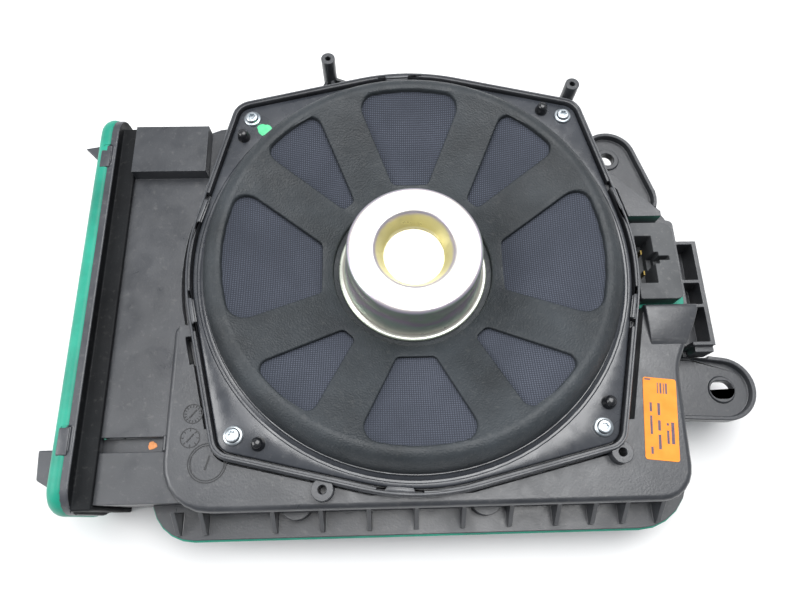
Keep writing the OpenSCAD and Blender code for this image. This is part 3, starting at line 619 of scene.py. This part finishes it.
for start, end in zip(ARMS, ARMS[1:]):
    plan = punches.faces.new([punches.verts.new(p) for p in window_outline(start, end, 38)])
    raised = bmesh.ops.extrude_face_region(punches, geom=[plan])["geom"]
    bmesh.ops.translate(punches, vec=(0, 0, 50),
        verts=[g for g in raised if isinstance(g, bmesh.types.BMVert)])
face_outwards(punches)
punch_mesh = bpy.data.meshes.new("window_punches")
punches.to_mesh(punch_mesh)
punches.free()
dish_blank = bpy.data.objects.new("dish_blank", stock)
punch = bpy.data.objects.new("window_punches", punch_mesh)
for made in (dish_blank, punch):
    bpy.context.scene.collection.objects.link(made)
cut = dish_blank.modifiers.new("windows", "BOOLEAN")
cut.operation = "DIFFERENCE"
cut.solver = "MANIFOLD"
cut.object = punch
bpy.context.view_layer.update()
punched = bpy.data.meshes.new_from_object(
    dish_blank.evaluated_get(bpy.context.evaluated_depsgraph_get()))
bpy.data.objects.remove(dish_blank)
bpy.data.objects.remove(punch)
dish = bmesh.new()
dish.from_mesh(punched)


def window_edge(edge):
    """A sharp edge within the ring of the windows."""
    return sharp(edge, 45) and all(45 < v.co.xy.length < 99 for v in edge.verts)


def on_top(vert):
    """Whether a point lies on the dish's outer side, above the middle of its wall."""
    return vert.co.z > FLANGE_Z + (vert.co.xy.length - HUB_RADIUS) * SLOPE - 11.6


edge_verts = list({v for e in dish.edges if window_edge(e) for v in e.verts})
bmesh.ops.remove_doubles(dish, verts=edge_verts, dist=0.45)
window_rims = [e for e in dish.edges if window_edge(e) and e.is_convex
    and all(on_top(v) for v in e.verts)]
round_edges(dish, window_rims, 0.8, 3)


def circle_like(loop, radius, level):
    """A circle with a point at the angle of each point of another loop."""
    return [(radius * x / math.hypot(x, y), radius * y / math.hypot(x, y), level)
        for x, y, z in loop]


# Talc-filled polypropylene with the tool's grain: a dull near-black that scatters the light
basket_plastic = moulded_plastic("pp_talc_moulded_coarse_grain_black", "#262a2d", "#383d41", 0.5,
    0.9, 1.7, 0.12, gloss=0.35)
piece("basket_dish", dish, basket_plastic, "basket_plastic", "basket", angle=38)
# The flat flange by its outline, then the round step that leads up to the dish
flange = bmesh.new()
guide = flange_outline(0, 0)
loft(flange, [
    circle_like(guide, 107.6, 55.0), flange_outline(0, 55.0), flange_outline(0, 57.2),
    flange_outline(-0.25, 57.7), flange_outline(-0.8, 58.0), circle_like(guide, 112.4, 58.0),
    circle_like(guide, 111.9, 57.6), circle_like(guide, 111.0, 57.6),
    circle_like(guide, 110.4, 58.1), circle_like(guide, 109.2, 58.7),
    circle_like(guide, 108.6, 60.2), circle_like(guide, 107.6, 60.2)], closed=True)
# The same plastic off a polished tool: it mirrors the bright back of the room as pale bands
flange_plastic = moulded_plastic("pp_talc_moulded_polished_black", "#2c2f34", "#3a3d43", 0.26,
    1.0, 0.1, 0.15, gloss=0.9)
piece("basket_flange", flange, flange_plastic, "basket_plastic", "basket")

# ---------------------------------------------------------------------------------------------
# Window cloth: one disc of fine polyester loudspeaker cloth glued behind the windows to keep
# dirt out. Slate grey, plain weave; its 0.4 mm threads are drawn 1.1 mm apart so they show.
# ---------------------------------------------------------------------------------------------
THREADS_APART = 0.0011
BAND_SCALE = math.tau / 20  # bands of a wave are this over its scale apart
CLOTH_THICK = 0.4

# Polyester in plain weave: slate blue grey, each crossing of the threads a small light knot
cloth_weave, tree, place = blank("polyester_plain_weave_slate")
warp = add(tree, "ShaderNodeTexWave", {"wave_type": "BANDS", "bands_direction": "X",
    "Scale": BAND_SCALE / THREADS_APART, "Distortion": 0.6, "Detail": 1, "Detail Scale": 2},
    {"Vector": place})
weft = add(tree, "ShaderNodeTexWave", {"wave_type": "BANDS", "bands_direction": "Y",
    "Scale": BAND_SCALE / THREADS_APART, "Distortion": 0.6, "Detail": 1, "Detail Scale": 2},
    {"Vector": place})
threads = add(tree, "ShaderNodeMath", {"operation": "MULTIPLY"},
    {0: warp.outputs["Fac"], 1: weft.outputs["Fac"]})
wear = add(tree, "ShaderNodeTexNoise", {"Scale": 30, "Detail": 4, "Roughness": 0.6},
    {"Vector": place})
fuzz = ramp(tree, wear.outputs["Fac"], [(0.3, "#464b56"), (0.7, "#5a5f6c")])
knots = add(tree, "ShaderNodeMapRange", {"From Max": 0.55}, {"Value": threads.outputs[0]})
yarn = add(tree, "ShaderNodeMix", {"data_type": "RGBA", 6: linear("#2f333c")},
    {0: knots.outputs[0], 7: fuzz})
bump = add(tree, "ShaderNodeBump", {"Strength": 0.6, "Distance": 0.0004},
    {"Height": threads.outputs[0]})
shader = add(tree, "ShaderNodeBsdfPrincipled", {"Roughness": 0.78, "Specular IOR Level": 0.3,
    "Sheen Weight": 0.35, "Sheen Roughness": 0.4},
    {"Base Color": yarn.outputs[2], "Normal": bump.outputs["Normal"]})
surface(tree, shader)
cloth = bmesh.new()
tops = [(r, -13.82 + (r - HUB_RADIUS) * SLOPE) for r in (46.5, 55, 64, 73, 82, 91, 98.1)]
lathe(cloth, tops + [(r, z - CLOTH_THICK) for r, z in reversed(tops)], 160)
window_cloth = piece("window_cloth_disc", cloth, cloth_weave, "dust_cloth", "window_cloth",
    angle=60)

# ---------------------------------------------------------------------------------------------
# Motor pot: a deep-drawn steel cup, zinc plated and yellow passivated, with a funnel pressed in
# its end. Bright, with a turned sheen and faint yellow, violet and green tints.
# ---------------------------------------------------------------------------------------------
# Zinc with a yellow chromate film: bright steel, and where the film is thicker or thinner,
# such as at the bends, rings of yellow, violet and green
pot_zinc, tree, place = blank("steel_drawn_zinc_yellow_passivated")
apart = add(tree, "ShaderNodeSeparateXYZ", links={"Vector": place})
flat_place = add(tree, "ShaderNodeCombineXYZ", links={"X": apart.outputs["X"],
    "Y": apart.outputs["Y"]})
radius = add(tree, "ShaderNodeVectorMath", {"operation": "LENGTH"},
    {0: flat_place.outputs["Vector"]})
bloom = add(tree, "ShaderNodeTexNoise", {"Scale": 38, "Detail": 3, "Distortion": 0.8},
    {"Vector": place})
film = add(tree, "ShaderNodeMath", {"operation": "MULTIPLY_ADD", 1: 0.003},
    {0: bloom.outputs["Fac"], 2: radius.outputs["Value"]})
film_share = add(tree, "ShaderNodeMapRange", {"From Min": 0.0015, "From Max": 0.0415},
    {"Value": film.outputs[0]})
tint = ramp(tree, film_share.outputs["Result"], [(0.0, "#f1efe6"), (0.38, "#ece7cf"),
    (0.405, "#bdb57e"), (0.48, "#cdc79a"), (0.505, "#b5aec6"), (0.535, "#efece0"),
    (0.8, "#eee9d8"), (0.85, "#c9bfd2"), (0.865, "#b9cdb9"), (0.885, "#ccb9cf"),
    (0.905, "#bfd3c8"), (0.93, "#efeae0"), (1.0, "#c5d0c0")])
lines = add(tree, "ShaderNodeMath", {"operation": "SINE"},
    {0: add(tree, "ShaderNodeMath", {"operation": "MULTIPLY", 1: math.tau / 0.0009},
        {0: radius.outputs["Value"]}).outputs[0]})
bump = add(tree, "ShaderNodeBump", {"Strength": 0.05, "Distance": 0.0001},
    {"Height": lines.outputs[0]})
smudge = add(tree, "ShaderNodeTexNoise", {"Scale": 90, "Detail": 5, "Roughness": 0.65},
    {"Vector": place})
haze = add(tree, "ShaderNodeMapRange", {"From Min": 0.3, "From Max": 0.7, "To Min": 0.26,
    "To Max": 0.42}, {"Value": smudge.outputs["Fac"]})
shader = add(tree, "ShaderNodeBsdfPrincipled", {"Metallic": 0.7},
    {"Base Color": tint, "Roughness": haze.outputs["Result"], "Normal": bump.outputs["Normal"]})
surface(tree, shader)
# The cup's section: down its flared foot, up the skirt, over the lip and down the funnel
cup = bmesh.new()
cup_line = rounded([(28, -16.5), (36.5, -16.5), (36.5, -14.5), (40, -14.5), (40, -12.5),
    (37.2, -12.5), (34.8, 5), (34.7, 16.4), (20.8, 16.4), (19.2, 13.4), (15.6, 6.4)],
    [0.4, 0.3, 0.3, 0.9, 0.9, 2.2, 6, 2.4, 2.2, 3, 1.6], 6)
lathe(cup, [(p.x, p.y) for p in cup_line] + [(8, 6.25), (0, 6.2), (0, 2.4), (20.5, 2.4), (20.5, 8),
    (28, 8)], 144)
piece("motor_pot", cup, pot_zinc, "zinc_steel", "magnet_pot", angle=50)

# ---------------------------------------------------------------------------------------------
# Driver screws: four washer-head screws with six-lobed sockets, rolled and bright zinc plated.
# ---------------------------------------------------------------------------------------------
# Bright zinc on rolled steel: cool silver with a slightly cloudy film
bright_zinc, tree, place = blank("steel_rolled_bright_zinc")
film = add(tree, "ShaderNodeTexNoise", {"Scale": 260, "Detail": 4}, {"Vector": place})
shader = add(tree, "ShaderNodeBsdfPrincipled", {"Metallic": 1},
    {"Base Color": ramp(tree, film.outputs["Fac"], [(0.3, "#a9b2b8"), (0.7, "#d5dadd")]),
        "Roughness": add(tree, "ShaderNodeMapRange", {"To Min": 0.28, "To Max": 0.46},
            {"Value": film.outputs["Fac"]}).outputs["Result"]})
surface(tree, shader)


def lobed(centre, radius, depth, level, steps=48):
    """A circle, or with some depth a six-lobed star, round a screw's axis."""
    loop = []
    for k in range(steps):
        turn = 360 * k / steps
        reach = radius - depth * (0.5 - 0.5 * math.cos(math.radians(6 * turn)))
        loop.append((*(Vector(centre) + polar(reach, turn)), level))
    return loop


# Each screw by radius, depth of the socket's lobes and height: shank, washer, head, socket
screws = bmesh.new()
for corner in CORNERS:
    spot = polar(SCREW_CIRCLE, corner)
    loft(screws, [lobed(spot, r, d, FLANGE_Z + z) for r, d, z in [(2, 0, -16.5), (2, 0, 0.05),
        (4.75, 0, 0.05), (4.75, 0, 0.8), (4.5, 0, 1.1), (3.6, 0, 1.3), (3.5, 0, 2.2),
        (3.2, 0, 2.75), (2.6, 0, 3.0), (2.05, 0.5, 3.0), (1.95, 0.5, 1.3)]], first=True, last=True)
piece("driver_screws_zinc", screws, bright_zinc, "screw_zinc", "driver_screws",
    angle=40)

# ---------------------------------------------------------------------------------------------
# Locating pegs' heads: the upper shell's four pegs come up through the flange and end in
# glossy domes, melted over when the driver is fixed.
# ---------------------------------------------------------------------------------------------
PEG_CIRCLE, PEG_TURN = 120, 5.4  # radius of the pegs' circle, and degrees on from each screw

# Plastic that was melted over: glossy black, with one small point of light on each dome
gloss_black = moulded_plastic("abs_melted_gloss_black", "#16171a", "#1e2023", 0.2, 1.5, 0.2, 0.1,
    gloss=0.6)
domes = bmesh.new()
for corner in CORNERS:
    spot = polar(PEG_CIRCLE, corner + PEG_TURN)
    loft(domes, [lobed(spot, r, 0, FLANGE_Z + z, 28) for r, z in [(3.5, 0), (3.5, 0.5),
        (3.2, 1.2), (2.9, 3.4), (2.5, 4.4), (1.6, 5.1), (0.6, 5.3)]], first=True, last=True)
piece("peg_heads", domes, gloss_black, "shell_plastic", angle=60)

# ---------------------------------------------------------------------------------------------
# Connector: the moulded socket block in a plainer, greyer plastic, with a mating key cut in
# it, two brass blades inside, and a green seal squeezed under it. The screws that close the
# shells from below are plated like the driver's.
# ---------------------------------------------------------------------------------------------

# Glass-filled polyester: dry, matt and a shade greyer than the shells, and dusty in its corners
connector_plastic = moulded_plastic("pbt_gf_moulded_matt_grey_black", "#3f4143", "#4c4e50", 0.55,
    1.2, 0.3, 0.35)
socket = copy_of("connector_block")
connector_block = piece("connector_block_moulding", socket, connector_plastic,
    "connector_plastic", "connector_block", keep_sides=True)
soften(connector_block, 0.35)
socket_seal = copy_of("connector_seal")
connector_seal = piece("connector_seal_ring", socket_seal, green_rubber, "green_rubber",
    "connector_seal", keep_sides=True)
soften(connector_seal, 0.4, 3)


def dress(material, part_slot, *nodes):
    """Gives a node that keeps its own shape the finish of the real part."""
    for node in nodes:
        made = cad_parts[node]
        made.data.materials.clear()
        made.data.materials.append(material)


# Tarnished stamped brass: a dim gold deep in the socket
brass, tree, place = blank("brass_stamped_tarnished")
tarnish = add(tree, "ShaderNodeTexNoise", {"Scale": 300, "Detail": 4}, {"Vector": place})
shader = add(tree, "ShaderNodeBsdfPrincipled", {"Metallic": 1, "Roughness": 0.35},
    {"Base Color": ramp(tree, tarnish.outputs["Fac"], [(0.3, "#4d4124"), (0.7, "#7a6a3c")])})
surface(tree, shader)
dress(brass, "contact_brass", "contact_positive", "contact_negative")
dress(bright_zinc, "screw_zinc", "shell_screws")

# ---------------------------------------------------------------------------------------------
# Label and paint: an orange paper label on the face with plain printed bars, a green paint
# dot by a screw and a dab of orange in the duct's groove.
# ---------------------------------------------------------------------------------------------


def coated(name, pale, deep, rough, grain):
    """Paper or paint: colour with faint mottling grain millimetres wide, and its roughness."""
    material, tree, place = blank(name)
    mottle = add(tree, "ShaderNodeTexNoise", {"Scale": 1000 / grain, "Detail": 4},
        {"Vector": place})
    bump = add(tree, "ShaderNodeBump", {"Strength": 0.2, "Distance": 0.0001},
        {"Height": mottle.outputs["Fac"]})
    shader = add(tree, "ShaderNodeBsdfPrincipled", {"Roughness": rough, "Specular IOR Level": 0.4},
        {"Base Color": ramp(tree, mottle.outputs["Fac"], [(0.3, deep), (0.7, pale)]),
            "Normal": bump.outputs["Normal"]})
    surface(tree, shader)
    return material


LABEL_SPOT, LABEL_TURN = (119.0, -84.2), -6.8


def on_label(points):
    """Points of the label's own plan, moved to where it is stuck."""
    turn = Matrix.Rotation(math.radians(LABEL_TURN), 2)
    return [turn @ Vector(p) + Vector(LABEL_SPOT) for p in points]


# Coated label paper: even, warm orange, slightly mottled and hardly shiny
paper_orange = coated("paper_label_coated_orange", "#fb9a34", "#f38c26", 0.62, 6)
sheet = bmesh.new()
edge = on_label(rounded([(-8.3, -20.2), (8.3, -20.2), (8.3, 20.2), (-8.3, 20.2)], [1.2] * 4, 4))
loft(sheet, [[(p.x, p.y, FACE_Z + z) for p in edge] for z in (-0.05, 0.28)], first=True,
    last=True)
piece("label_paper", sheet, paper_orange, "orange_label", "label")
# Thermal printing over orange: a soft violet grey
print_ink = coated("printing_ink_violet_grey", "#6a5a68", "#57495c", 0.55, 1.5)
printing = bmesh.new()
# Each bar: its middle across the label, where it starts along it, its length and its width
bars = [(5.6, -12, 10.5, 1.5), (3.2, -12, 6.4, 1.1), (3.2, -3.2, 1.2, 1.1), (-0.9, -15, 7, 1.3),
    (-0.9, -6, 5, 1.3), (-0.9, 1.5, 6, 1.3), (-4.8, -17.5, 3.4, 1.1), (-4.8, -8, 9, 1.1),
    (-4.8, 3, 4.5, 1.1), (0.4, 12.4, 5.4, 0.9), (1.9, 12.4, 5.4, 0.5), (-1.1, 12.4, 5.4, 0.5),
    (3.2, 12.4, 5.4, 0.9), (-6, 18.8, 0.8, 3)]
for across, start, length, width in bars:
    corners = on_label([(across - width / 2, start), (across + width / 2, start),
        (across + width / 2, start + length), (across - width / 2, start + length)])
    loft(printing, [[(p.x, p.y, FACE_Z + z) for p in corners] for z in (0.2, 0.3)], first=True,
        last=True)
piece("label_print_bars", printing, print_ink, "orange_label")


def dab(shape, centre, size, level, phase):
    """A blob of paint with an uneven edge, whose lumps a phase turns."""
    points, swell = 18, 0.35
    edge = []
    for k in range(points):
        turn = math.tau * k / points
        reach = 1 + 0.12 * math.sin(3 * turn + phase) + 0.06 * math.sin(7 * turn + 2 * phase)
        edge.append((size[0] * reach * math.cos(turn), size[1] * reach * math.sin(turn)))
    loft(shape, [[(centre[0] + x * s, centre[1] + y * s, level + z) for x, y in edge]
        for s, z in [(1, -0.05), (0.97, swell * 0.6), (0.8, swell * 0.9), (0.4, swell)]],
        first=True, last=True)


# Marking paint: a smooth pale green spot, brighter than anything round it
green_enamel = coated("enamel_paint_green", "#6ad79c", "#4fc188", 0.35, 4)
GREEN_SPOT, GREEN_SIZE = (-81.6, 81.6), (4.0, 3.7)
dot = bmesh.new()
dab(dot, GREEN_SPOT, GREEN_SIZE, FLANGE_Z, 0.6)
piece("paint_dot_green", dot, green_enamel, "green_paint", "paint_dot")
# The inspector's orange, thinner and duller than the green
orange_enamel = coated("enamel_paint_orange", "#df9a62", "#c97d44", 0.5, 2)
ORANGE_SPOT, ORANGE_SIZE, GROOVE_Z = (-130.8, -90.3), (2.2, 2.0), 44
spot = bmesh.new()
dab(spot, ORANGE_SPOT, ORANGE_SIZE, GROOVE_Z, 1.9)
piece("inspection_dab", spot, orange_enamel, "orange_paint", "inspection_mark")

# ---------------------------------------------------------------------------------------------
# Inside the driver and the enclosure: rubber surround and gasket, coated paper cone and cap,
# former, coil, spider, magnet, plate, terminal strip and leads. All hidden once it is closed.
# ---------------------------------------------------------------------------------------------

# Nitrile rubber: waxy black, with a soft highlight along the roll
black_rubber = moulded_rubber("nbr_moulded_black", "#1b1c1e", "#2a2b2e", 0.5)
# Foam strip: dead matt black
foam = moulded_rubber("eva_foam_black", "#1a1b1c", "#262728", 0.8)
# Pressed paper pulp, dyed: fibrous dark grey
paper_cone = coated("paper_pulp_pressed_black", "#333335", "#242426", 0.8, 1.5)
# Polyimide film: smooth clear amber
polyimide = coated("polyimide_film_amber", "#b98f56", "#9c7238", 0.3, 2)
# Cotton stiffened with phenolic resin: dry yellow-brown cloth
phenolic_cloth = coated("cotton_phenolic_amber", "#c9a356", "#a67f38", 0.7, 0.8)
# Paper laminate board: mottled brown
board = coated("laminate_board_brown", "#6a5838", "#4c3d26", 0.6, 1.2)
# Extruded wire covering: even red, softly shiny
red_pvc = coated("pvc_extruded_red", "#b43a30", "#9a2a22", 0.4, 2)
# The same covering in black
black_pvc = coated("pvc_extruded_black", "#2b2c2f", "#1d1e20", 0.4, 2)
# Enamelled copper: orange-brown metal, with a band for each turn of the winding
copper, tree, place = blank("copper_enamelled_wire")
layer = add(tree, "ShaderNodeTexWave", {"wave_type": "BANDS", "bands_direction": "Z",
    "Scale": BAND_SCALE / 0.0006}, {"Vector": place})
shader = add(tree, "ShaderNodeBsdfPrincipled", {"Metallic": 1, "Roughness": 0.35},
    {"Base Color": ramp(tree, layer.outputs["Fac"], [(0.2, "#8f4a20"), (0.8, "#cc7a44")])})
surface(tree, shader)
# Nickel on turned steel: plain silver grey
nickel, tree, place = blank("steel_turned_nickel_plated")
turning = add(tree, "ShaderNodeTexNoise", {"Scale": 180, "Detail": 4}, {"Vector": place})
shader = add(tree, "ShaderNodeBsdfPrincipled", {"Metallic": 1, "Roughness": 0.32},
    {"Base Color": ramp(tree, turning.outputs["Fac"], [(0.3, "#9fa3a6"), (0.7, "#c2c5c7")])})
surface(tree, shader)
dress(foam, "black_foam", "driver_gasket")
dress(black_rubber, "black_rubber", "surround")
dress(paper_cone, "cone_paper", "cone", "dust_cap")
dress(polyimide, "former_film", "coil_former")
dress(copper, "copper_wire", "voice_coil", "tinsel_positive", "tinsel_negative")
dress(phenolic_cloth, "spider_cloth", "spider")
dress(nickel, "magnet_metal", "magnet", "pole_plate")
dress(board, "strip_board", "terminal_strip")
dress(red_pvc, "red_insulation", "wire_positive")
dress(black_pvc, "black_insulation", "wire_negative")
